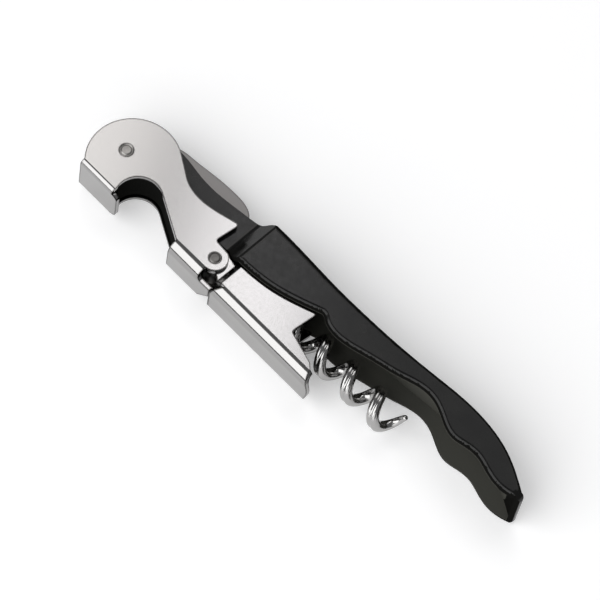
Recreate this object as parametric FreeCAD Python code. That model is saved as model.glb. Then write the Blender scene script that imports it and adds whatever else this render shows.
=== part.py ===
import FreeCAD, Part
import math
import os

# A double-hinged lever corkscrew, folded shut, in millimetres. It is built about the middle plane
# of its thickness: x runs from the head to the tail, y from the open side of the handle to its back,
# z through the thickness. main() moves it onto the plane z = 0 and over the middle of its footprint.

# Lever: two links of bent sheet, hinged at the knee.
LEVER_HALF = 5.1
LEVER_SHEET = 0.9
LEVER_INSIDE = LEVER_HALF - LEVER_SHEET
LEVER_SPINE_Y = -7.95
LEVER_BEND = 2.6
HOOK_SPINE_Y = -8.2
HOOK_BEND = 1.2
HOOK_END_X = -7.2
HOOK_TIP_X = 3.8
HOOK_TIP_HALF = 3.9
HOOK_TIP_ROUND = 1.3
DISC_R = 10.1
NOTCH = (6.95, -5.0)
NOTCH_R = 5.0
HEAD = (-2.9, 0.7)
KNEE = (27.2, -2.6)
LOBE_R = 2.9
TONGUE_HALF = 3.15
TONGUE_END_X = 31.2
RELIEF_X = 27.5
RELIEF_R = 1.0
TONGUE_CUT = ((27.3, -3.9), (32.2, 1.6))
SIDE_START_X = 19.0
THROAT_END_Y = -5.75
EAR_R = 2.7
EAR_OUTSIDE = LEVER_INSIDE - 0.05
EAR_INSIDE = EAR_OUTSIDE - LEVER_SHEET
SHOULDER_X = 32.3
SHOULDER_LOW_Y = -5.6
SHOULDER_HIGH_Y = 0.3
KNEE_SWEEP_R = 6.75
FOOT_END_X = 60.3
FOOT_SIDE_X = 58.2

# Handle: one pressed channel with a narrow neck inside the lever.
HANDLE_HALF = 6.75
HANDLE_WALL = 1.2
NECK_HALF = 3.8
NECK_INSIDE = NECK_HALF - HANDLE_WALL
NECK_END_R = 6.9
NECK_RECESS = 0.5
WEB_END_X = 18.4
SLOT_END_X = 25.4
SHOULDER_START_X = 27.4
SHOULDER_FULL_X = 30.9
BACK_ROUND = 1.6
TAIL_ROUND = 0.8
TAIL_X = 106.9
BACK_POINTS = [(38.0, 11.85), (48.0, 11.4), (58.0, 11.4), (68.0, 11.8), (77.0, 12.6), (85.0, 13.2),
               (92.0, 12.8), (98.0, 11.3), (102.5, 9.2)]
BACK_START = (30.4, 11.95)
NECK_BACK_END = (28.4, 10.1)
LIP_START = (28.8, 0.3)
LIP_NOTCH = (51.4, 5.0)
LIP_END = (106.2, 5.6)
LIP_ROUND = 1.0
TAIL_CORNER_R = 2.6
THROAT_FOOT_Y = -4.85
THROAT_SLOPE = 28.0

# Pins, rivets, washers and spacers.
RUNNING = 0.05
FACE_GAP = 0.02
HEAD_RIVET_R = 1.3
RIVET_FLARE_R = 1.56
RIVET_PROUD = 0.12
FLARE_DEPTH = 0.3
WASHER_R = 3.6
KNIFE_SPACER_R = 3.2
KNEE_RIVET_R = 1.2
KNEE_HEAD_R = 1.9
KNEE_HEAD_DEPTH = 0.5
WORM_PIN = (21.6, 0.95)
WORM_PIN_R = 1.2
WORM_PIN_LENGTH_HALF = NECK_HALF + 0.1
PIN_LOBE_R = 2.4

# Knife blade.
KNIFE_HALF = 0.65
TANG_R = 4.2
SERRATION_R = 0.9
SERRATION_STEP = 1.5
SERRATION_DEPTH = 0.3

# Worm: a straight shank that opens into a right-handed helix round the same axis.
WIRE_R = 1.3
HELIX_R = 2.75
PITCH = 7.7
TURNS = 5.0
WORM_TIP_X = 77.2
TIP_ANGLE = -5.0
TIP_R = 0.7
TAPER_TURNS = 0.5
EYE_R = 2.2
EYE_HALF = 1.4
SHANK_BLEND_TURNS = 0.75
POINTS_PER_TURN = 12

FAR = 200.0


def vec(x, y, z=0.0):
    return FreeCAD.Vector(x, y, z)


def polar(centre, radius, degrees):
    angle = math.radians(degrees)
    return centre[0] + radius * math.cos(angle), centre[1] + radius * math.sin(angle)


class Outline:
    """A closed outline in the plane of x and y, made of straight runs, arcs and smooth curves."""

    def __init__(self, x, y):
        self.first = vec(x, y)
        self.last = self.first
        self.edges = []

    def to(self, x, y):
        self.edges.append(Part.LineSegment(self.last, vec(x, y)).toShape())
        self.last = vec(x, y)
        return self

    def arc(self, middle, end):
        self.edges.append(Part.Arc(self.last, vec(*middle), vec(*end)).toShape())
        self.last = vec(*end)
        return self

    def curve(self, points):
        spline = Part.BSplineCurve()
        spline.interpolate([self.last] + [vec(*p) for p in points])
        self.edges.append(spline.toShape())
        self.last = vec(*points[-1])
        return self

    def prism(self, low, high):
        if self.last.distanceToPoint(self.first) > 1e-6:
            self.to(self.first.x, self.first.y)
        face = Part.Face(Part.Wire(self.edges))
        face.translate(vec(0, 0, low))
        return face.extrude(vec(0, 0, high - low))


def disc(centre, radius, low, high):
    return Part.makeCylinder(radius, high - low, vec(centre[0], centre[1], low))


def block(x, y, z):
    return Part.makeBox(x[1] - x[0], y[1] - y[0], z[1] - z[0], vec(x[0], y[0], z[0]))


def round_corners(solid, corners):
    """Round the upright edges of a prism: corners is a list of (x, y, radius)."""
    for x, y, radius in corners:
        near = []
        for edge in solid.Edges:
            a, b = edge.firstVertex().Point, edge.lastVertex().Point
            upright = abs(a.z - b.z) > 0.1 and math.hypot(a.x - b.x, a.y - b.y) < 1e-4
            if upright and math.hypot(a.x - x, a.y - y) < 0.05:
                near.append(edge)
        solid = solid.makeFillet(radius, near)
    return solid


def mirrored(solid):
    """The same piece on the other side of the middle plane."""
    return solid.mirror(vec(0, 0, 0), vec(0, 0, 1))


def channel(x_low, x_high, spine_y, half, bend):
    """A straight channel open towards +y: two side walls and a spine joined by round bends."""

    def body(inset):
        outer = block((x_low, x_high), (spine_y + inset, FAR / 4), (inset - half, half - inset))
        radius = bend - inset
        edges = []
        for edge in outer.Edges:
            a, b = edge.firstVertex().Point, edge.lastVertex().Point
            if abs(a.y - spine_y - inset) < 1e-6 and abs(b.y - a.y) < 1e-6 and abs(a.x - b.x) > 1:
                edges.append(edge)
        return outer.makeFillet(radius, edges)

    return body(0.0).cut(body(LEVER_SHEET))


def lever_first_link():
    """Head disc, crown-cap notch with its hook, and the knee end that carries the second link."""
    throat_start = polar(NOTCH, NOTCH_R, 62)
    lobe_side = polar(KNEE, LOBE_R, 68)
    plate = Outline(*polar((0, 0), DISC_R, 59))
    plate.arc(polar((0, 0), DISC_R, 160), (HOOK_END_X, -7.08))
    plate.to(HOOK_END_X, HOOK_SPINE_Y)
    plate.to(2.25, HOOK_SPINE_Y)
    plate.to(*polar(NOTCH, NOTCH_R, 200))
    plate.arc(polar(NOTCH, NOTCH_R, 130), throat_start)
    plate.to(SIDE_START_X, THROAT_END_Y)
    plate.to(SIDE_START_X, LEVER_SPINE_Y)
    plate.to(TONGUE_END_X, LEVER_SPINE_Y)
    plate.to(TONGUE_END_X, LEVER_SPINE_Y + LEVER_BEND)
    plate.to(*polar(KNEE, LOBE_R, -60))
    plate.arc(polar(KNEE, LOBE_R, -6), lobe_side)
    plate.to(24.4, 0.35)
    plate.to(25.1, 6.4)
    plate.curve([(21.0, 5.3), (15.6, 4.4), (10.4, 5.45)])
    solid = plate.prism(-LEVER_HALF, LEVER_HALF)
    solid = round_corners(solid, [(24.4, 0.35, 0.6), (25.1, 6.4, 0.6),
                                  (SIDE_START_X, THROAT_END_Y, 0.3)])
    hook = channel(-DISC_R - 2, 12.0, HOOK_SPINE_Y, LEVER_HALF, HOOK_BEND)
    knee = channel(12.0, 40.0, LEVER_SPINE_Y, LEVER_HALF, LEVER_BEND)
    relief = fold_relief()
    link = solid.common(hook.fuse(knee)).cut(relief).cut(mirrored(relief)).cut(tongue_cut())
    link = link.fuse(hook_tip())
    link = link.cut(disc(HEAD, HEAD_RIVET_R + RUNNING, -FAR, FAR))
    link = link.cut(disc(KNEE, KNEE_RIVET_R, -FAR, FAR))
    flare = Part.makeCone(HEAD_RIVET_R + RUNNING, RIVET_FLARE_R + RUNNING, FLARE_DEPTH,
                          vec(HEAD[0], HEAD[1], LEVER_HALF - FLARE_DEPTH))
    link = link.cut(flare).cut(mirrored(flare))
    return link.removeSplitter()


def fold_relief():
    """The round-ended slot along the fold beside the knee, which lets the second link's ear swing."""
    low, high = LEVER_SPINE_Y - 1.0, KNEE[1]
    centre_x = RELIEF_X + RELIEF_R
    end = Part.makeCylinder(RELIEF_R, high - low, vec(centre_x, low, TONGUE_HALF + RELIEF_R),
                            vec(0, 1, 0))
    open_end = block((centre_x, FAR), (low, high), (TONGUE_HALF, FAR))
    side = block((RELIEF_X, FAR), (low, high), (TONGUE_HALF + RELIEF_R, FAR))
    return end.fuse(open_end).fuse(side).cut(disc(KNEE, LOBE_R, -FAR, FAR))


def tongue_cut():
    """The slanting cut that narrows the tongue of the spine on its far side; x and z in TONGUE_CUT."""
    (start_x, start_z), (end_x, end_z) = TONGUE_CUT
    corners = [(start_x, start_z), (end_x, end_z), (end_x, -LEVER_HALF - 1), (start_x, -LEVER_HALF - 1)]
    low = LEVER_SPINE_Y - 1.0
    wire = Part.makePolygon([vec(x, low, z) for x, z in corners + corners[:1]])
    wedge = Part.Face(wire).extrude(vec(0, LEVER_BEND + 1.0, 0))
    return wedge.cut(disc(KNEE, LOBE_R, -FAR, FAR))


def hook_tip():
    """The rounded end of the hook's spine, which stands into the notch and grips a crown cap."""
    tip = block((HOOK_TIP_X - 3.0, HOOK_TIP_X), (HOOK_SPINE_Y, HOOK_SPINE_Y + LEVER_SHEET),
                (-HOOK_TIP_HALF, HOOK_TIP_HALF))
    corners = [edge for edge in tip.Edges if edge.Length < LEVER_SHEET + 1e-6
               and abs(edge.firstVertex().X - HOOK_TIP_X) < 1e-6]
    tip = tip.makeFillet(HOOK_TIP_ROUND, corners)
    return tip.common(channel(-DISC_R, 12.0, HOOK_SPINE_Y, LEVER_HALF, HOOK_BEND))


def lever_second_link():
    """Ears set in between the first link's lobes, a straight spine and the rounded foot."""
    plate = Outline(SHOULDER_X, SHOULDER_HIGH_Y)
    plate.to(SHOULDER_X, SHOULDER_LOW_Y)
    plate.to(TONGUE_END_X, SHOULDER_LOW_Y)
    plate.to(TONGUE_END_X, LEVER_SPINE_Y)
    plate.to(FOOT_END_X, LEVER_SPINE_Y)
    plate.to(FOOT_END_X, LEVER_SPINE_Y + LEVER_BEND)
    plate.to(FOOT_SIDE_X, LEVER_SPINE_Y + LEVER_BEND)
    plate.to(57.0, -4.3)
    plate.to(49.5, -2.2)
    plate.to(50.2, 4.3)
    plate.curve([(44.5, 2.6), (38.0, 1.2)])
    solid = plate.prism(-LEVER_HALF, LEVER_HALF)
    solid = round_corners(solid, [(49.5, -2.2, 0.7), (50.2, 4.3, 0.5), (57.0, -4.3, 0.8)])
    solid = solid.common(channel(20.0, 70.0, LEVER_SPINE_Y, LEVER_HALF, LEVER_BEND))
    solid = solid.cut(disc(KNEE, KNEE_SWEEP_R, -FAR, FAR).common(
        block((0, FAR), (-FAR, SHOULDER_LOW_Y), (-FAR, FAR))))
    foot_r = (LEVER_HALF ** 2 + (FOOT_END_X - FOOT_SIDE_X) ** 2) / (2 * (FOOT_END_X - FOOT_SIDE_X))
    foot = Part.makeCylinder(foot_r, FAR, vec(FOOT_END_X - foot_r, -FAR / 2, 0), vec(0, 1, 0))
    solid = solid.common(foot.fuse(block((0, FOOT_SIDE_X - 2), (-FAR, FAR), (-FAR, FAR))))
    ear = ear_side()
    return solid.fuse(ear).fuse(mirrored(ear)).removeSplitter()


def ear_side():
    """One ear with the joggle that steps it out to the link's side wall."""
    strip = Outline(*polar(KNEE, EAR_R, 90))
    strip.arc(polar(KNEE, EAR_R, 180), polar(KNEE, EAR_R, -40))
    strip.to(SHOULDER_X - 1.9, -4.95)
    strip.to(SHOULDER_X - 1.2, SHOULDER_LOW_Y)
    strip.to(SHOULDER_X - 1.2, SHOULDER_HIGH_Y - 0.2)
    ear = strip.prism(EAR_INSIDE, EAR_OUTSIDE)
    step = Part.makePolygon([vec(SHOULDER_X - 1.3, 0, EAR_INSIDE), vec(SHOULDER_X - 1.3, 0, EAR_OUTSIDE),
                             vec(SHOULDER_X, 0, LEVER_HALF), vec(SHOULDER_X + 1.0, 0, LEVER_HALF),
                             vec(SHOULDER_X + 1.0, 0, LEVER_INSIDE), vec(SHOULDER_X, 0, LEVER_INSIDE),
                             vec(SHOULDER_X - 0.6, 0, EAR_INSIDE),
                             vec(SHOULDER_X - 1.3, 0, EAR_INSIDE)])
    step = Part.Face(step).extrude(vec(0, SHOULDER_HIGH_Y - SHOULDER_LOW_Y, 0))
    step.translate(vec(0, SHOULDER_LOW_Y, 0))
    hole = disc(KNEE, KNEE_RIVET_R + RUNNING, -FAR, FAR)
    return ear.fuse(step).cut(hole)


def neck_points():
    """Where the neck's lower edge meets the notch and the straight throat."""
    recess = NOTCH_R + NECK_RECESS
    return polar(NOTCH, recess, 62), polar(NOTCH, recess, 125), polar(NOTCH, recess, 184)


def handle_outline():
    throat, over_notch, notch_foot = neck_points()
    side = Outline(*polar(HEAD, NECK_END_R, -62))
    side.arc(polar(HEAD, NECK_END_R, 190), polar(HEAD, NECK_END_R, 80))
    side.curve([(4.9, 9.4), (11.0, 8.65), (16.5, 8.5), (21.5, 9.05), (25.2, 9.55), NECK_BACK_END])
    side.to(*BACK_START)
    side.curve(BACK_POINTS + [(105.9, 7.2)])
    side.arc((TAIL_X, 6.4), LIP_END)
    side.curve([(104.2, 4.9), (101.2, 4.55), (97.7, 5.2), (94.2, 6.1), (91.2, 5.85), (87.9, 5.3),
                (84.3, 6.4), (81.0, 7.9), (77.7, 8.4), (71.0, 6.65), (64.0, 4.85), (58.8, 3.5),
                (55.5, 3.3), LIP_NOTCH])
    side.curve([(46.8, 3.2), (41.0, 1.35), (36.0, 0.5), LIP_START])
    side.to(27.9, 1.0)
    side.to(WORM_PIN[0] + PIN_LOBE_R, WORM_PIN[1])
    side.arc(polar(WORM_PIN, PIN_LOBE_R, -45), polar(WORM_PIN, PIN_LOBE_R, -90))
    side.to(WEB_END_X + 1.0, WORM_PIN[1] - PIN_LOBE_R)
    side.to(WEB_END_X, THROAT_FOOT_Y)
    side.to(*throat)
    side.arc(over_notch, notch_foot)
    return side


def handle_plan(half_neck, half_wide, shift, end_x):
    """The handle seen from its back: a narrow neck that widens at the shoulder."""
    start, full = SHOULDER_START_X + shift, SHOULDER_FULL_X + shift
    plan = Outline(-30.0, -half_neck)
    plan.to(start, -half_neck).to(full, -half_wide).to(end_x, -half_wide)
    plan.to(end_x, half_wide).to(full, half_wide).to(start, half_neck).to(-30.0, half_neck)
    solid = plan.prism(-FAR / 2, FAR / 2)
    if shift == 0:
        corners = ((start, half_neck, 2.2), (full, half_wide, 1.6), (end_x, half_wide, TAIL_CORNER_R))
        for side in (1, -1):
            solid = round_corners(solid, [(x, side * z, radius) for x, z, radius in corners])
    solid.rotate(vec(0, 0, 0), vec(1, 0, 0), 90)
    return solid


def rim_edges(solid):
    """The edges round the handle's two broad faces, each with its two end points."""
    rim = []
    for edge in solid.Edges:
        a, b = edge.firstVertex().Point, edge.lastVertex().Point
        if abs(abs(a.z) - HANDLE_HALF) < 1e-4 and abs(a.z - b.z) < 1e-4:
            rim.append((edge, a, b))
    return rim


def back_edges(solid):
    """The two long edges where the handle's back meets its broad faces."""
    return [edge for edge, a, b in rim_edges(solid) if edge.Length > 60]


def lip_edges(solid):
    """The edges of the open side, from the shoulder to the tail's round end."""
    low, high, top = LIP_START[0], LIP_END[0], LIP_END[1]
    return [edge for edge, a, b in rim_edges(solid)
            if min(a.x, b.x) > low - 0.01 and max(a.x, b.x) < high + 0.01 and max(a.y, b.y) < top + 0.01]


def handle_channel():
    outer = handle_outline().prism(-HANDLE_HALF, HANDLE_HALF)
    outer = round_corners(outer, [(*LIP_NOTCH, 1.3), (*BACK_START, 1.4), (*NECK_BACK_END, 1.5)])
    outer = outer.makeFillet(LIP_ROUND, lip_edges(outer))
    outer = outer.makeFillet(BACK_ROUND, TAIL_ROUND, back_edges(outer))
    outer = outer.common(handle_plan(NECK_HALF, HANDLE_HALF, 0.0, TAIL_X + 0.1)).Solids[0]
    inner_end_x = TAIL_X - HANDLE_WALL
    cavity = Outline(WEB_END_X, -20.0)
    cavity.to(WEB_END_X, 8.0)
    cavity.to(SLOT_END_X, 8.2)
    cavity.to(NECK_BACK_END[0], NECK_BACK_END[1] - 1.5)
    cavity.to(BACK_START[0] + 0.8, BACK_START[1] - HANDLE_WALL)
    cavity.curve([(x, y - HANDLE_WALL) for x, y in BACK_POINTS] + [(inner_end_x, 6.1)])
    cavity.to(inner_end_x, -20.0)
    slot = block((-30.0, SLOT_END_X), (-30.0, 30.0), (-FAR, FAR))
    hollow = cavity.prism(-FAR, FAR).fuse(slot)
    hollow = hollow.common(handle_plan(NECK_INSIDE, HANDLE_HALF - HANDLE_WALL, 0.7, TAIL_X + 10.0))
    handle = outer.cut(hollow.cut(neck_web()))
    handle = handle.cut(disc(HEAD, HEAD_RIVET_R, -FAR, FAR))
    handle = handle.cut(disc(WORM_PIN, WORM_PIN_R, -FAR, FAR))
    return handle


def neck_web():
    """The strip that closes the neck along the opener notch and the throat."""
    throat, _, _ = neck_points()
    inner = NOTCH_R + NECK_RECESS + HANDLE_WALL
    lift = HANDLE_WALL / math.cos(math.radians(THROAT_SLOPE))
    strip = Outline(throat[0] - 1.0, throat[1] - 6.0)
    strip.to(WEB_END_X, -12.0).to(WEB_END_X, THROAT_FOOT_Y + lift)
    strip.to(*polar(NOTCH, inner, 62))
    strip.to(throat[0] - 1.0, throat[1])
    web = disc(NOTCH, inner, -FAR, FAR).fuse(strip.prism(-FAR, FAR))
    return web.common(block((-1.0, WEB_END_X), (-20, 20), (-NECK_HALF, NECK_HALF)))


def head_rivet():
    shank = disc(HEAD, HEAD_RIVET_R, -LEVER_HALF, LEVER_HALF)
    flare = Part.makeCone(HEAD_RIVET_R, RIVET_FLARE_R, FLARE_DEPTH,
                          vec(HEAD[0], HEAD[1], LEVER_HALF - FLARE_DEPTH))
    dome = Part.makeCone(RIVET_FLARE_R, RIVET_FLARE_R - 0.2, RIVET_PROUD,
                         vec(HEAD[0], HEAD[1], LEVER_HALF))
    end = flare.fuse(dome)
    return shank.fuse(end).fuse(mirrored(end)).removeSplitter()


def ring(centre, outer_r, inner_r, low, high):
    return disc(centre, outer_r, low, high).cut(disc(centre, inner_r, low, high))


def lever_washer():
    return ring(HEAD, WASHER_R, HEAD_RIVET_R, NECK_HALF, LEVER_INSIDE - FACE_GAP)


def knife_spacer():
    return ring(HEAD, KNIFE_SPACER_R, HEAD_RIVET_R, KNIFE_HALF + FACE_GAP, NECK_INSIDE)


def worm_spacer():
    return ring(WORM_PIN, EYE_R, WORM_PIN_R, EYE_HALF + FACE_GAP, NECK_INSIDE)


def worm_pin():
    return disc(WORM_PIN, WORM_PIN_R, -WORM_PIN_LENGTH_HALF, WORM_PIN_LENGTH_HALF)


def knee_rivet():
    shank = disc(KNEE, KNEE_RIVET_R, EAR_INSIDE - KNEE_HEAD_DEPTH, LEVER_HALF)
    inner_head = disc(KNEE, KNEE_HEAD_R, EAR_INSIDE - KNEE_HEAD_DEPTH, EAR_INSIDE - FACE_GAP)
    outer_end = Part.makeCone(1.5, 1.35, RIVET_PROUD, vec(KNEE[0], KNEE[1], LEVER_HALF))
    return shank.fuse(inner_head).fuse(outer_end).removeSplitter()


def knife_blade():
    blade = Outline(-1.6, 4.4)
    blade.to(0.9, 10.0)
    blade.curve([(2.9, 11.1), (6.5, 11.6), (12.0, 12.25), (18.0, 12.6), (21.6, 12.2), (23.7, 11.0),
                 (24.3, 10.0)])
    blade.arc((13.6, 4.4), (2.0, 2.4))
    blade.to(0.0, 1.0)
    blade.to(-3.0, 2.0)
    solid = blade.prism(-KNIFE_HALF, KNIFE_HALF)
    solid = round_corners(solid, [(0.9, 10.0, 1.2)])
    cutting_edge = Part.Arc(vec(24.3, 10.0), vec(13.6, 4.4), vec(2.0, 2.4)).toShape()
    centre = cutting_edge.Curve.Center
    for i in range(int((cutting_edge.Length - 3.0) / SERRATION_STEP)):
        at = cutting_edge.valueAt(cutting_edge.getParameterByLength(1.6 + SERRATION_STEP * i))
        outward = (at - centre).normalize() * (SERRATION_R - SERRATION_DEPTH)
        solid = solid.cut(disc(at + outward, SERRATION_R, -1.0, 1.0))
    solid = solid.fuse(disc(HEAD, TANG_R, -KNIFE_HALF, KNIFE_HALF))
    return solid.cut(disc(HEAD, HEAD_RIVET_R + RUNNING, -1.0, 1.0)).removeSplitter()


def worm_point(turn):
    """A point of the wire's middle line: turn 0 is the tip, and it counts towards the shank."""
    x = WORM_TIP_X - turn * PITCH
    angle = math.radians(TIP_ANGLE) - turn * 2 * math.pi
    left = (TURNS - turn) / SHANK_BLEND_TURNS
    grow = 1.0
    if left < 1.0:
        grow = left * left * (3 - 2 * left)
    radius = HELIX_R * grow
    return vec(x, WORM_PIN[1] + radius * math.cos(angle), radius * math.sin(angle))


def smooth(points):
    spline = Part.BSplineCurve()
    spline.interpolate(points)
    return spline


def worm():
    """Eye, shank and helix of one round wire, with a point drawn down over part of a turn."""
    shank_end = WORM_TIP_X - TURNS * PITCH
    start = vec(WORM_PIN[0] + EYE_R - 0.6, WORM_PIN[1])
    line = [start, vec(shank_end - 6.0, WORM_PIN[1]), vec(shank_end - 2.0, WORM_PIN[1])]
    steps = int((TURNS - TAPER_TURNS) * POINTS_PER_TURN)
    line += [worm_point(TURNS - (TURNS - TAPER_TURNS) * i / steps) for i in range(steps + 1)]
    section = Part.Wire([Part.Circle(start, vec(1, 0, 0), WIRE_R).toShape()])
    wire = Part.Wire([smooth(line).toShape()]).makePipeShell([section], True, False)
    point_line = smooth([worm_point((TAPER_TURNS + 0.05) * (1 - i / 8)) for i in range(9)])
    sections = []
    for share in (0.0, 0.25, 0.5, 0.75, 1.0):
        at = point_line.FirstParameter + share * (point_line.LastParameter - point_line.FirstParameter)
        radius = WIRE_R - 0.02 + (TIP_R - WIRE_R) * share ** 1.6
        circle = Part.Circle(point_line.value(at), point_line.tangent(at)[0], radius)
        sections.append(Part.Wire([circle.toShape()]))
    eye = disc(WORM_PIN, EYE_R, -EYE_HALF, EYE_HALF)
    body = eye.fuse(wire).fuse(Part.makeLoft(sections, True, False))
    return body.cut(disc(WORM_PIN, WORM_PIN_R + RUNNING, -3, 3))


def pieces():
    washer, knife_side, worm_side, rivet = lever_washer(), knife_spacer(), worm_spacer(), knee_rivet()
    return {
        "handle_channel": handle_channel(),
        "head_rivet": head_rivet(),
        "worm_pin": worm_pin(),
        "lever_washer_near": washer,
        "lever_washer_far": mirrored(washer),
        "knife_spacer_near": knife_side,
        "knife_spacer_far": mirrored(knife_side),
        "worm_spacer_near": worm_side,
        "worm_spacer_far": mirrored(worm_side),
        "knife_blade": knife_blade(),
        "lever_first_link": lever_first_link(),
        "knee_rivet_near": rivet,
        "knee_rivet_far": mirrored(rivet),
        "lever_second_link": lever_second_link(),
        "worm": worm(),
    }


def main():
    os.makedirs("parts", exist_ok=True)
    built = pieces()
    box = Part.Compound(list(built.values())).optimalBoundingBox()
    centre = vec(-(box.XMin + box.XMax) / 2, -(box.YMin + box.YMax) / 2, -box.ZMin)
    for name, shape in built.items():
        shape.translate(centre)
        shape.exportStep(os.path.join("parts", name + ".step"))
        print(name, "valid", shape.isValid(), "solids", len(shape.Solids), "mm3", round(shape.Volume, 1))
    print("box", box.XLength, box.YLength, box.ZLength, "moved by", centre)
    for name, place in (("head", HEAD), ("knee", KNEE), ("worm pin", WORM_PIN)):
        print(name, place[0] + centre.x, place[1] + centre.y, centre.z)


main()
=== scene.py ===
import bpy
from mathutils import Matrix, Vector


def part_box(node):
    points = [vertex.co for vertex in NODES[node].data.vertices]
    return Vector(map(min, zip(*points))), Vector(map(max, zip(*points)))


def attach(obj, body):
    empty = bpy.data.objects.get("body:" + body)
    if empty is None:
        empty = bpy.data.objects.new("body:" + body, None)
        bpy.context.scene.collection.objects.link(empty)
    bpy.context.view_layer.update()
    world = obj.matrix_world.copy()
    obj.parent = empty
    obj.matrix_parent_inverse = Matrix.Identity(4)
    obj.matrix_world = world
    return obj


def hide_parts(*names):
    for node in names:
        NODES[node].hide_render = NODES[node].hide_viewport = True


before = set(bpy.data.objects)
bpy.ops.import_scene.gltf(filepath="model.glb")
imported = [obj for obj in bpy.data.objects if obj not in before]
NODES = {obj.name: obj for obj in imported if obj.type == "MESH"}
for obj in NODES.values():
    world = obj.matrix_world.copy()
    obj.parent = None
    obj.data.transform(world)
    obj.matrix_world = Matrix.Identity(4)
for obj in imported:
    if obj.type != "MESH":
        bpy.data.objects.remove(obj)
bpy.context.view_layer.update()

import math

import bmesh
import bpy
from mathutils import Quaternion, Vector

MM = 0.001

# The view: the camera looks down on the near face of the closed tool from its open side.
AZIMUTH = 34.848
ELEVATION = 63.623
ROLL = 12.477
AIM = Vector((-4.2706, 3.4505, 6.75)) * MM
DISTANCE = 725.165 * MM
LENS = 212.659

# Lights and floor.
LIGHT_DISTANCE = 1.2
OVERHEAD = (-0.25, 0.52, 0.82)
OVERHEAD_DEPTH = 0.62
FLOOR_SIZE = 4.0
FLOOR_GLOW = 0.27
WORLD_GLOW = 0.2

# Eased edges.
WELD_GAP = 0.001 * MM
FLAT_ANGLE = 0.6       # degrees within which neighbouring facets become one flat face
SHARP_ANGLE = 32       # degrees above which an edge is rounded

# Where the handle's finishes change. The FACING values are parts of a face's normal along y or z.
OPEN_FACING = -0.6     # along y: below this a face looks to the open side
BACK_FACING = (0.3, 0.8)  # along y: the rounding between a broad face and the back
BACK_SLOPE = 0.2       # along z: the least slope of that rounding
SIDE_FACING = 0.3      # along z: above this a face looks sideways, below it along the sheet's edge
THROAT_FACING = 0.5    # along y: above this an edge of the neck belongs to its back
LIP_DEPTH = 1.0 * MM   # how far in from the broad faces the handle's lips reach
GRIP_START = -17.0 * MM
BACK_MATT_START = GRIP_START - 2 * MM
# Painted shade: how far from the tail the channel's inside stays matt black instead of the painted-light
# olive.
END_PAINTED_SHADE = 5.0 * MM
GLOSS, MATT, OLIVE_PAINTED_LIGHT = range(3)


# ---------------------------------------------------------------- camera, floor, light

def make_camera():
    az, el = math.radians(AZIMUTH), math.radians(ELEVATION)
    back = Vector((math.sin(az) * math.cos(el), -math.cos(az) * math.cos(el), math.sin(el)))
    turn = (-back).to_track_quat("-Z", "Y") @ Quaternion((0, 0, 1), math.radians(ROLL))
    data = bpy.data.cameras.new("camera")
    data.lens = LENS
    data.clip_start = 0.01
    data.clip_end = 20.0
    camera = bpy.data.objects.new("camera", data)
    camera.rotation_mode = "QUATERNION"
    camera.rotation_quaternion = turn
    camera.location = AIM + back * DISTANCE
    bpy.context.scene.collection.objects.link(camera)
    bpy.context.scene.camera = camera


def make_floor():
    bpy.ops.mesh.primitive_plane_add(size=FLOOR_SIZE)
    floor = bpy.context.object
    floor.name = "floor"
    material = bpy.data.materials.new("pale_floor")
    material.use_nodes = True
    shader = material.node_tree.nodes["Principled BSDF"]
    shader.inputs["Base Color"].default_value = (0.84, 0.84, 0.845, 1.0)
    shader.inputs["Roughness"].default_value = 0.95
    shader.inputs["Specular IOR Level"].default_value = 0.0
    shader.inputs["Emission Color"].default_value = (1.0, 1.0, 1.0, 1.0)
    shader.inputs["Emission Strength"].default_value = FLOOR_GLOW
    floor.data.materials.append(material)


def area_light(name, direction, size, radiance, colour=(1.0, 1.0, 1.0), aside=0.0):
    """A soft box that faces the object; radiance is how bright its face looks.

    aside moves it along its own length, so that boxes side by side have the same plane.
    """
    data = bpy.data.lights.new(name, "AREA")
    data.shape = "RECTANGLE"
    data.size, data.size_y = size
    data.energy = radiance * math.pi * size[0] * size[1]
    data.color = colour
    light = bpy.data.objects.new(name, data)
    direction = Vector(direction).normalized()
    turn = (-direction).to_track_quat("-Z", "Y")
    light.location = direction * LIGHT_DISTANCE + turn @ Vector((aside, 0.0, 0.0))
    light.rotation_mode = "QUATERNION"
    light.rotation_quaternion = turn
    bpy.context.scene.collection.objects.link(light)


def make_lights():
    bpy.context.scene.view_settings.view_transform = "Standard"
    world = bpy.data.worlds.new("studio")
    world.use_nodes = True
    background = world.node_tree.nodes["Background"]
    background.inputs["Color"].default_value = (0.98, 0.99, 1.0, 1.0)
    background.inputs["Strength"].default_value = WORLD_GLOW
    bpy.context.scene.world = world
    for end, width, radiance, colour, aside in (("head", 0.374, 2.12, (1.0, 0.98, 0.962), 0.373),
                                                ("middle", 0.083, 2.8, (0.995, 0.985, 1.0), 0.115),
                                                ("tail", 0.63, 1.0, (1.0, 1.0, 1.0), -0.255)):
        area_light("over_softbox_" + end, OVERHEAD, (width, OVERHEAD_DEPTH), radiance, colour, aside)
    area_light("front_softbox", (-0.25, -0.72, 0.65), (1.4, 1.35), 2.5)
    area_light("side_softbox", (0.65, -0.78, 0.36), (1.4, 0.8), 1.5)


# ---------------------------------------------------------------- materials

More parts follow.
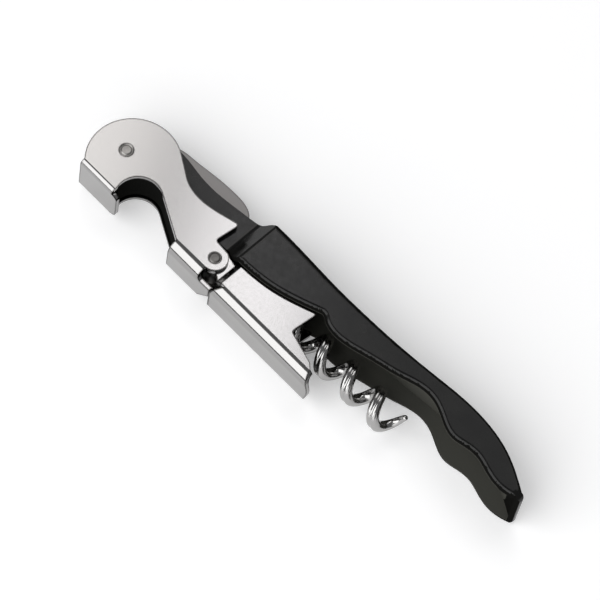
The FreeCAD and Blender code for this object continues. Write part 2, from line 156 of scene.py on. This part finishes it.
class Material:
    """A node material with a few helpers, so that each finish reads as a short recipe."""

    def __init__(self, name, colour, metallic, roughness):
        self.material = bpy.data.materials.new(name)
        self.material.use_nodes = True
        self.tree = self.material.node_tree
        self.shader = self.tree.nodes["Principled BSDF"]
        self.set("Base Color", (*colour, 1.0))
        self.set("Metallic", metallic)
        self.set("Roughness", roughness)
        self.place = self.tree.nodes.new("ShaderNodeTexCoord").outputs["Object"]
        self.height = None

    def set(self, socket, value):
        self.shader.inputs[socket].default_value = value

    def noise(self, per_mm, detail=3.0, stretch=(1.0, 1.0, 1.0)):
        """Noise with a grain of about 1 / per_mm millimetres, drawn out where stretch is small."""
        mapping = self.tree.nodes.new("ShaderNodeMapping")
        mapping.inputs["Scale"].default_value = stretch
        self.tree.links.new(self.place, mapping.inputs["Vector"])
        texture = self.tree.nodes.new("ShaderNodeTexNoise")
        texture.inputs["Scale"].default_value = per_mm / MM
        texture.inputs["Detail"].default_value = detail
        self.tree.links.new(mapping.outputs["Vector"], texture.inputs["Vector"])
        return texture.outputs["Fac"]

    def spread(self, value, low, high, start=0.3, end=0.7):
        """value, read from start to end, laid out from low to high."""
        node = self.tree.nodes.new("ShaderNodeMapRange")
        for socket, number in (("From Min", start), ("From Max", end), ("To Min", low), ("To Max", high)):
            node.inputs[socket].default_value = number
        self.tree.links.new(value, node.inputs["Value"])
        return node.outputs["Result"]

    def tint(self, value, dark, light):
        """Base colour from dark to light as value goes from 0.3 to 0.7."""
        ramp = self.tree.nodes.new("ShaderNodeValToRGB")
        ramp.color_ramp.elements[0].position = 0.3
        ramp.color_ramp.elements[0].color = (*dark, 1.0)
        ramp.color_ramp.elements[1].position = 0.7
        ramp.color_ramp.elements[1].color = (*light, 1.0)
        self.tree.links.new(value, ramp.inputs["Fac"])
        self.tree.links.new(ramp.outputs["Color"], self.shader.inputs["Base Color"])

    def edges(self, radius_mm, dark, light):
        """Painted shade: base colour that turns dark within about radius_mm of a sharp edge, standing in for
        the dark reflections of the rounded edge.
        """
        rounded = self.tree.nodes.new("ShaderNodeBevel")
        rounded.samples = 8
        rounded.inputs["Radius"].default_value = radius_mm * MM
        surface = self.tree.nodes.new("ShaderNodeNewGeometry")
        match = self.tree.nodes.new("ShaderNodeVectorMath")
        match.operation = "DOT_PRODUCT"
        self.tree.links.new(rounded.outputs["Normal"], match.inputs[0])
        self.tree.links.new(surface.outputs["Normal"], match.inputs[1])
        self.tint(self.spread(match.outputs["Value"], 0.3, 0.7, 0.93, 0.998), dark, light)

    def link(self, value, socket):
        self.tree.links.new(value, self.shader.inputs[socket])

    def bump(self, value, depth_mm, strength=1.0):
        """Adds relief; each call lies on top of the last."""
        node = self.tree.nodes.new("ShaderNodeBump")
        node.inputs["Strength"].default_value = strength
        node.inputs["Distance"].default_value = depth_mm * MM
        self.tree.links.new(value, node.inputs["Height"])
        if self.height is not None:
            self.tree.links.new(self.height, node.inputs["Normal"])
        self.height = node.outputs["Normal"]
        self.tree.links.new(self.height, self.shader.inputs["Normal"])


def chrome():
    """Bright plating on pressed sheet: a satin mirror, with painted shade darkening it near its edges."""
    finish = Material("lever_chrome", (0.345, 0.34, 0.337), 1.0, 0.16)
    # painted shade: base colour darkened within 0.55 mm of sharp edges
    finish.edges(0.55, (0.05, 0.048, 0.046), (0.345, 0.34, 0.337))
    finish.link(finish.spread(finish.noise(1.6, 4.0), 0.11, 0.14), "Roughness")
    finish.bump(finish.noise(0.25, 2.0), 0.0008)
    return finish.material


def lacquer():
    """Gloss black stoving lacquer over steel, with a slight orange-peel surface."""
    finish = Material("black_lacquer", (0.006, 0.006, 0.006), 0.0, 0.14)
    finish.set("IOR", 1.4)
    finish.set("Specular IOR Level", 0.34)
    finish.tint(finish.noise(0.2, 3.0), (0.004, 0.004, 0.004), (0.008, 0.008, 0.0075))
    finish.link(finish.spread(finish.noise(0.8, 4.0), 0.11, 0.19), "Roughness")
    finish.bump(finish.noise(1.1, 2.0), 0.003)
    return finish.material


def matt_black(name, colour):
    """The same lacquer where it is thin and has no gloss; on the handle it also gives painted shade and, in
    a lighter colour, painted light.
    """
    finish = Material(name, colour, 0.0, 0.6)
    finish.set("IOR", 1.02)
    finish.bump(finish.noise(1.1, 2.0), 0.003)
    return finish.material


def plain_steel(name, colour, roughness, grain, stretch):
    """Steel with a grain of fine lines or specks."""
    finish = Material(name, colour, 1.0, roughness)
    lines = finish.noise(grain, 5.0, stretch)
    finish.tint(lines, tuple(0.82 * c for c in colour), tuple(min(1.15 * c, 1.0) for c in colour))
    finish.link(finish.spread(lines, roughness * 0.75, roughness * 1.25), "Roughness")
    finish.bump(lines, 0.0025)
    return finish.material


def ground_blade():
    """Satin ground steel with painted shade along its edges."""
    finish = Material("knife_steel", (0.155, 0.15, 0.148), 1.0, 0.3)
    # painted shade: base colour darkened within 0.45 mm of sharp edges
    finish.edges(0.45, (0.03, 0.028, 0.027), (0.155, 0.15, 0.148))
    finish.bump(finish.noise(1.2, 5.0, (0.15, 1.0, 1.0)), 0.001)
    return finish.material


def polished_wire():
    """Polished steel wire with faint drawing marks."""
    finish = Material("worm_chrome", (0.4, 0.395, 0.39), 1.0, 0.15)
    finish.link(finish.spread(finish.noise(0.8, 3.0), 0.12, 0.18), "Roughness")
    finish.bump(finish.noise(0.6, 2.0), 0.001)
    return finish.material


# ---------------------------------------------------------------- pieces from the frame

def ease_edges(piece, bevel_mm, segments=3):
    """Join the shape's faces along their edges and round those edges off."""
    weld = piece.modifiers.new("weld", "WELD")
    weld.merge_threshold = WELD_GAP
    flat = piece.modifiers.new("flat", "DECIMATE")
    flat.decimate_type = "DISSOLVE"
    flat.angle_limit = math.radians(FLAT_ANGLE)
    ease = piece.modifiers.new("ease", "BEVEL")
    ease.width = bevel_mm * MM
    ease.segments = segments
    ease.limit_method = "ANGLE"
    ease.angle_limit = math.radians(SHARP_ANGLE)
    ease.use_clamp_overlap = True
    ease.miter_outer = "MITER_ARC"
    piece.modifiers.new("normals", "WEIGHTED_NORMAL").weight = 100


def dressed(name, material, bevel_mm, segments=3):
    """A CAD node with its sharp edges eased and a finish given to it."""
    piece = NODES[name]
    ease_edges(piece, bevel_mm, segments)
    for slot in piece.material_slots:
        slot.material = material


def middle(node):
    low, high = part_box(node)
    return (low + high) / 2


def ring_faces(rings, closed):
    """Faces between neighbouring rings, and at the ends or, if closed, from the last to the first."""
    count = len(rings[0])
    faces = []
    for i in range(len(rings) - 1 + closed):
        here, there = i * count, (i + 1) % len(rings) * count
        for j in range(count):
            k = (j + 1) % count
            faces.append((here + j, here + k, there + k, there + j))
    if not closed:
        faces.append(tuple(reversed(range(count))))
        faces.append(tuple(range(len(rings) * count - count, len(rings) * count)))
    return faces


def solid_of_rings(name, rings, material, body, node, closed=False):
    """A closed mesh over a row of rings of equal length, standing for a CAD node."""
    mesh = bpy.data.meshes.new(name)
    mesh.from_pydata([point for ring in rings for point in ring], [], ring_faces(rings, closed))
    mesh.materials.append(material)
    for polygon in mesh.polygons:
        polygon.use_smooth = True
    shape = bmesh.new()
    shape.from_mesh(mesh)
    bmesh.ops.recalc_face_normals(shape, faces=shape.faces)
    shape.to_mesh(mesh)
    shape.free()
    piece = bpy.data.objects.new(name, mesh)
    bpy.context.scene.collection.objects.link(piece)
    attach(piece, body)
    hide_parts(node)


def turned(at, profile, sides=48):
    """Rings about the upright line through at: profile is a list of (radius, z) in millimetres."""
    rings = []
    for radius, z in profile:
        ring = []
        for j in range(sides):
            angle = 2 * math.pi * j / sides
            ring.append((at.x + radius * MM * math.cos(angle), at.y + radius * MM * math.sin(angle), z * MM))
        rings.append(ring)
    return rings


def handle():
    """The lacquered channel: gloss outside, matt black edges, painted shade as matt black in the throat and
    at the tail end, and painted light as a lighter olive black inside the grip.
    """
    node = NODES["handle_channel"]
    mesh = node.data.copy()
    mesh.name = "handle_shell"
    mesh.materials.clear()
    mesh.materials.append(lacquer())
    mesh.materials.append(matt_black("black_lacquer_matt", (0.006, 0.006, 0.0055)))
    # painted light: a lighter olive copy of the black lacquer, for the inside faces of the grip
    mesh.materials.append(matt_black("black_lacquer_inside_painted_light", (0.058, 0.058, 0.051)))
    low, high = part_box("handle_channel")
    centre = (low.z + high.z) / 2
    lip = high.z - centre - LIP_DEPTH
    for polygon in mesh.polygons:
        at, facing = polygon.center, polygon.normal
        sideways = abs(facing.z)
        inward = facing.z * (at.z - centre) < 0 and sideways > SIDE_FACING
        throat = at.x < GRIP_START and sideways < SIDE_FACING and facing.y < THROAT_FACING
        rounding = BACK_FACING[0] < facing.y < BACK_FACING[1] and sideways > BACK_SLOPE
        polygon.material_index = GLOSS
        if rounding and at.x > BACK_MATT_START:
            polygon.material_index = MATT
        # inside faces of the grip take the lighter olive copy as painted light; the throat and the tail end
        # stay matt black as painted shade
        elif inward or throat or facing.y < OPEN_FACING:
            inside = abs(at.z - centre) < lip and GRIP_START < at.x < high.x - END_PAINTED_SHADE
            polygon.material_index = OLIVE_PAINTED_LIGHT if inside else MATT
    piece = bpy.data.objects.new("handle_shell", mesh)
    piece.matrix_world = node.matrix_world
    bpy.context.scene.collection.objects.link(piece)
    ease_edges(piece, 0.1)
    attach(piece, "handle")
    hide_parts("handle_channel")


# ---------------------------------------------------------------- rivets

HEAD_SHANK_R = 1.3
HEAD_FLARE_R = 1.56
KNEE_SHANK_R = 1.2
KNEE_OUTER_R = 1.5
KNEE_INNER_R = 1.9
KNEE_INNER_HEIGHT = 0.48
RIVET_SINK = 0.24      # how deep the ring is that the punch has pressed
RIVET_DISH = 0.07      # how far the middle of the head is hollowed
RIVET_PROUD = 0.12     # how far the head stands above the plate
FLARE_DEPTH = 0.3


def peened_end(radius, shank, face, inward):
    """The end of a rivet from its middle outwards: a dish, a pressed ring, a round lip and a flare."""
    steps = ((0.02, RIVET_DISH), (0.3 * radius, 0.8 * RIVET_DISH), (0.52 * radius, 0.015),
             (0.6 * radius, 0.02), (0.68 * radius, 0.1), (0.74 * radius, RIVET_SINK),
             (0.86 * radius, RIVET_SINK), (0.9 * radius, 0.05), (0.93 * radius, 0.0),
             (0.97 * radius, 0.03), (radius, RIVET_PROUD), (shank, RIVET_PROUD + FLARE_DEPTH))
    return [(r, face + inward * depth) for r, depth in steps]


def head_rivet(material):
    """The rivet through the head, peened at both ends."""
    low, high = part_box("head_rivet")
    profile = peened_end(HEAD_FLARE_R, HEAD_SHANK_R, low.z / MM, 1)
    profile += peened_end(HEAD_FLARE_R, HEAD_SHANK_R, high.z / MM, -1)[::-1]
    rings = turned(middle("head_rivet"), profile)
    solid_of_rings("head_rivet_peened", rings, material, "handle", "head_rivet")


def knee_rivet(node, material, outer_is_high):
    """A knee rivet: a peened outer end and a plain round head inside the folded sheet."""
    low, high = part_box(node)
    outer, inner, inward = low.z / MM, high.z / MM, 1
    if outer_is_high:
        outer, inner, inward = inner, outer, -1
    profile = peened_end(KNEE_OUTER_R, KNEE_SHANK_R, outer, inward)
    under_head = inner - inward * KNEE_INNER_HEIGHT
    profile += [(KNEE_SHANK_R, under_head), (KNEE_INNER_R, under_head), (KNEE_INNER_R, inner), (0.02, inner)]
    rings = turned(middle(node), profile)
    solid_of_rings(node + "_peened", rings, material, "lever_first", node)


# ---------------------------------------------------------------- worm

WIRE_R = 1.3
HELIX_R = 2.75
PITCH = 7.7
TURNS = 5.0
TIP_R = 0.62
TIP_ANGLE = -5.0
TAPER_TURNS = 0.5
SHANK_BLEND_TURNS = 0.75
SHANK_IN_EYE = 0.6
GROOVE_DEPTH = 0.36
GROOVE_HALF_ANGLE = 0.3
GROOVE_TURNS = 4.3
GROOVE_FADE_TURNS = 0.4
EYE_R = 2.2
EYE_HALF = 1.4
EYE_HOLE_R = 1.35
STATIONS_PER_TURN = 72
WIRE_SIDES = 40
TIP_RINGS = 8


def worm_station(turn, tip, axis):
    """Middle of the wire and its outward direction; turn 0 is the tip, counting to the shank."""
    angle = math.radians(TIP_ANGLE) - turn * 2 * math.pi
    left = min(max((TURNS - turn) / SHANK_BLEND_TURNS, 0.0), 1.0)
    radius = HELIX_R * left * left * (3 - 2 * left)
    outward = Vector((0.0, math.cos(angle), math.sin(angle)))
    along = Vector((tip - turn * PITCH, axis.y / MM, axis.z / MM))
    return along + outward * radius, outward


def wire_ring(at, tangent, outward, radius, groove):
    """A ring of the wire, with a groove on its outer side."""
    across = (outward - tangent * outward.dot(tangent)).normalized()
    beside = tangent.cross(across)
    ring = []
    for j in range(WIRE_SIDES):
        angle = 2 * math.pi * j / WIRE_SIDES
        off = min(angle, 2 * math.pi - angle)
        r = radius - groove * math.exp(-((off / GROOVE_HALF_ANGLE) ** 2))
        ring.append((at + (across * math.cos(angle) + beside * math.sin(angle)) * r) * MM)
    return ring


def worm_wire(material):
    """The grooved wire from the eye to a rounded tip."""
    axis = middle("worm_pin")
    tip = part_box("worm")[1].x / MM - TIP_R
    shank_turns = (tip - (axis.x / MM + EYE_R - SHANK_IN_EYE)) / PITCH
    count = int(shank_turns * STATIONS_PER_TURN)
    turns = [shank_turns * (1 - i / count) for i in range(count + 1)]
    stations = [worm_station(turn, tip, axis) for turn in turns]
    rings = []
    for i, turn in enumerate(turns):
        at, outward = stations[i]
        tangent = (stations[min(i + 1, count)][0] - stations[max(i - 1, 0)][0]).normalized()
        share = max(1 - turn / TAPER_TURNS, 0.0)
        radius = WIRE_R + (TIP_R - WIRE_R) * share ** 1.6
        fade = min(max(GROOVE_TURNS - turn, 0.0) / GROOVE_FADE_TURNS, 1.0)
        rings.append(wire_ring(at, tangent, outward, radius, GROOVE_DEPTH * fade * (1 - share)))
    for i in range(1, TIP_RINGS + 1):
        bend = math.pi / 2 * i / TIP_RINGS
        end = at + tangent * TIP_R * math.sin(bend)
        rings.append(wire_ring(end, tangent, outward, max(TIP_R * math.cos(bend), 0.02), 0.0))
    solid_of_rings("worm_wire", rings, material, "worm", "worm")


def worm_eye(material):
    """The flat eye at the root of the worm, round its pin."""
    at = middle("worm_pin")
    z = at.z / MM
    ease = 0.25
    profile = [(EYE_HOLE_R, z - EYE_HALF), (EYE_R - ease, z - EYE_HALF), (EYE_R, z - EYE_HALF + ease),
               (EYE_R, z + EYE_HALF - ease), (EYE_R - ease, z + EYE_HALF), (EYE_HOLE_R, z + EYE_HALF)]
    rings = turned(at, profile)
    solid_of_rings("worm_eye", rings, material, "worm", "worm", closed=True)


# ---------------------------------------------------------------- the whole tool

def dress():
    bright = chrome()
    peened = plain_steel("rivet_steel", (0.165, 0.16, 0.156), 0.42, 2.5, (1.0, 1.0, 1.0))
    rubbed = plain_steel("rivet_steel_rubbed", (0.3, 0.29, 0.28), 0.36, 2.5, (1.0, 1.0, 1.0))
    washer = plain_steel("washer_steel", (0.45, 0.44, 0.43), 0.3, 2.0, (1.0, 1.0, 1.0))
    worm = polished_wire()
    dressed("lever_first_link", bright, 0.25, 4)
    dressed("lever_second_link", bright, 0.25, 4)
    dressed("knife_blade", ground_blade(), 0.12)
    worm_wire(worm)
    worm_eye(worm)
    head_rivet(rubbed)
    knee_rivet("knee_rivet_near", peened, True)
    knee_rivet("knee_rivet_far", peened, False)
    dressed("worm_pin", peened, 0.08)
    for name in NODES:
        if "washer" in name or "spacer" in name:
            dressed(name, washer, 0.05)
    handle()


make_camera()
make_floor()
make_lights()
dress()
